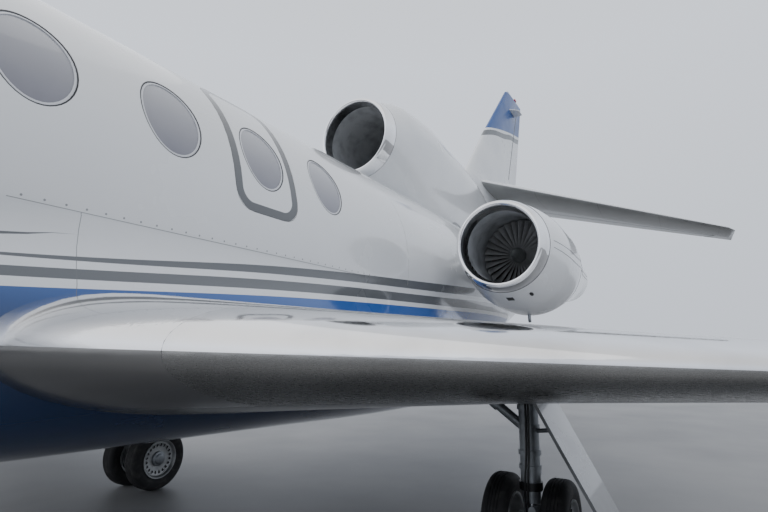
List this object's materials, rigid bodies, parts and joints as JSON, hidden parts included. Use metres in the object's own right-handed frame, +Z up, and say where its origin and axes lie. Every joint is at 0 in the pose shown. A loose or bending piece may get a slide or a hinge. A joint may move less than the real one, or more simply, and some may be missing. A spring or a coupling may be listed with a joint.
{
  "type": "business jet",
  "caption": "Three-engined low-wing business jet parked on its landing gear, with a lowering stair door, turning wheels and fans, steered nose gear and hinged control surfaces.",
  "frame": {"origin": "on the ground below the middle of the aircraft's length and span, as it parks on its wheels", "axes": "+X points forward to the nose, +Y to the aircraft's left wing tip, +Z up"},
  "size_m": [18.52, 18.86, 6.98],
  "materials": {
    "white_paint": "gloss",
    "fairing_paint": "gloss",
    "fin_paint": "gloss",
    "tail_paint": "satin",
    "door_paint": "satin",
    "wing_skin": "gloss",
    "bare_metal": "polished",
    "engine_metal": "satin",
    "fan_metal": "satin",
    "gear_metal": "satin",
    "tyre_rubber": "matte",
    "cabin_glass": "gloss",
    "cockpit_glass": "gloss",
    "floor_panel": "matte",
    "seat_leather": "satin",
    "panel_plastic": "matte"
  },
  "bodies": {
    "airframe": {"nose_cone": "white_paint", "front_fuselage": "white_paint", "cabin_fuselage": "white_paint", "rear_fuselage": "white_paint", "belly_fairing": "fairing_paint", "windscreen": "cockpit_glass", "cabin_floor": "floor_panel", "instrument_panel": "panel_plastic", "cockpit_seats": "seat_leather", "cabin_seats": "seat_leather", "centre_intake_lip": "bare_metal", "centre_intake_fairing": "white_paint", "centre_engine": "engine_metal", "centre_nozzle": "engine_metal", "fin": "fin_paint", "tailplane": "tail_paint", "nose_gear_leg": "gear_metal", "wing_left": "wing_skin", "wing_right": "wing_skin", "slat_left": "bare_metal", "slat_right": "bare_metal", "cabin_windows_left": "cabin_glass", "cabin_windows_right": "cabin_glass", "emergency_exit_left": "white_paint", "emergency_exit_right": "white_paint", "engine_lip_left": "bare_metal", "engine_lip_right": "bare_metal", "engine_cowling_left": "white_paint", "engine_cowling_right": "white_paint", "engine_core_left": "engine_metal", "engine_core_right": "engine_metal", "engine_pylon_left": "white_paint", "engine_pylon_right": "white_paint", "main_gear_leg_left": "gear_metal", "main_gear_leg_right": "gear_metal", "main_gear_door_left": "door_paint", "main_gear_door_right": "door_paint", "nose_gear_door_left": "door_paint", "nose_gear_door_right": "door_paint"},
    "nose_steering": {"nose_gear_fork": "gear_metal"},
    "nose_wheels": {"nose_wheels": "tyre_rubber"},
    "main_wheels_left": {"main_wheels_left": "tyre_rubber"},
    "main_wheels_right": {"main_wheels_right": "tyre_rubber"},
    "passenger_door": {"passenger_door": "white_paint"},
    "baggage_door": {"baggage_door": "white_paint"},
    "fan_left": {"engine_fan_left": "fan_metal"},
    "fan_right": {"engine_fan_right": "fan_metal"},
    "rudder": {"rudder": "fin_paint"},
    "elevator_left": {"elevator_left": "tail_paint"},
    "elevator_right": {"elevator_right": "tail_paint"},
    "aileron_left": {"aileron_left": "wing_skin"},
    "aileron_right": {"aileron_right": "wing_skin"},
    "flap_left": {"flap_left": "wing_skin"},
    "flap_right": {"flap_right": "wing_skin"}
  },
  "joints": [
    {"name": "nose_steering", "type": "hinge", "parent": "airframe", "child": "nose_steering", "pos_m": [6.3, 0, 0.6], "axis": [0, 0, 1], "range_deg": [-60, 60]},
    {"name": "nose_wheel_spin", "type": "hinge", "parent": "nose_steering", "child": "nose_wheels", "pos_m": [6.3, 0, 0.185], "axis": [0, 1, 0], "continuous": true},
    {"name": "main_wheel_spin_left", "type": "hinge", "parent": "airframe", "child": "main_wheels_left", "pos_m": [-0.94, 1.99, 0.3], "axis": [0, 1, 0], "continuous": true},
    {"name": "main_wheel_spin_right", "type": "hinge", "parent": "airframe", "child": "main_wheels_right", "pos_m": [-0.94, -1.99, 0.3], "axis": [0, 1, 0], "continuous": true},
    {"name": "passenger_door_hinge", "type": "hinge", "parent": "airframe", "child": "passenger_door", "pos_m": [5.38, 0.694, 1.294], "axis": [-1, 0, 0], "range_deg": [0, 132]},
    {"name": "baggage_door_hinge", "type": "hinge", "parent": "airframe", "child": "baggage_door", "pos_m": [-3.84, 0.752, 1.548], "axis": [-1, 0, 0], "range_deg": [0, 100]},
    {"name": "fan_spin_left", "type": "hinge", "parent": "airframe", "child": "fan_left", "pos_m": [-2.2, 1.633, 2.293], "axis": [1, 0, 0], "continuous": true},
    {"name": "fan_spin_right", "type": "hinge", "parent": "airframe", "child": "fan_right", "pos_m": [-2.2, -1.633, 2.293], "axis": [1, 0, 0], "continuous": true},
    {"name": "rudder_hinge", "type": "hinge", "parent": "airframe", "child": "rudder", "pos_m": [-7.33331, 0, 4.78], "axis": [-0.4603, 0, 0.8878], "range_deg": [-29, 29]},
    {"name": "elevator_hinge_left", "type": "hinge", "parent": "airframe", "child": "elevator_left", "pos_m": [-7.34103, 0.64, 4.11466], "axis": [0.4211, -0.8914, 0.1676], "range_deg": [-20, 16]},
    {"name": "elevator_hinge_right", "type": "hinge", "parent": "airframe", "child": "elevator_right", "pos_m": [-7.34103, -0.64, 4.11466], "axis": [-0.4211, -0.8914, -0.1676], "range_deg": [-20, 16]},
    {"name": "aileron_hinge_left", "type": "hinge", "parent": "airframe", "child": "aileron_left", "pos_m": [-2.31499, 6.5, 1.45088], "axis": [0.3014, -0.9527, -0.0393], "range_deg": [-25, 25]},
    {"name": "aileron_hinge_right", "type": "hinge", "parent": "airframe", "child": "aileron_right", "pos_m": [-2.31499, -6.5, 1.45088], "axis": [-0.3014, -0.9527, 0.0393], "range_deg": [-25, 25]},
    {"name": "flap_hinge_left", "type": "hinge", "parent": "airframe", "child": "flap_left", "pos_m": [-1.13635, 1.24, 1.27949], "axis": [0.2181, -0.9754, -0.0315], "range_deg": [0, 48]},
    {"name": "flap_hinge_right", "type": "hinge", "parent": "airframe", "child": "flap_right", "pos_m": [-1.13635, -1.24, 1.27949], "axis": [-0.2181, -0.9754, 0.0315], "range_deg": [0, 48]}
  ],
  "couplings": [
    {"joint": "elevator_hinge_right", "follows": "elevator_hinge_left", "ratio": 1},
    {"joint": "aileron_hinge_right", "follows": "aileron_hinge_left", "ratio": -1},
    {"joint": "flap_hinge_right", "follows": "flap_hinge_left", "ratio": 1}
  ]
}
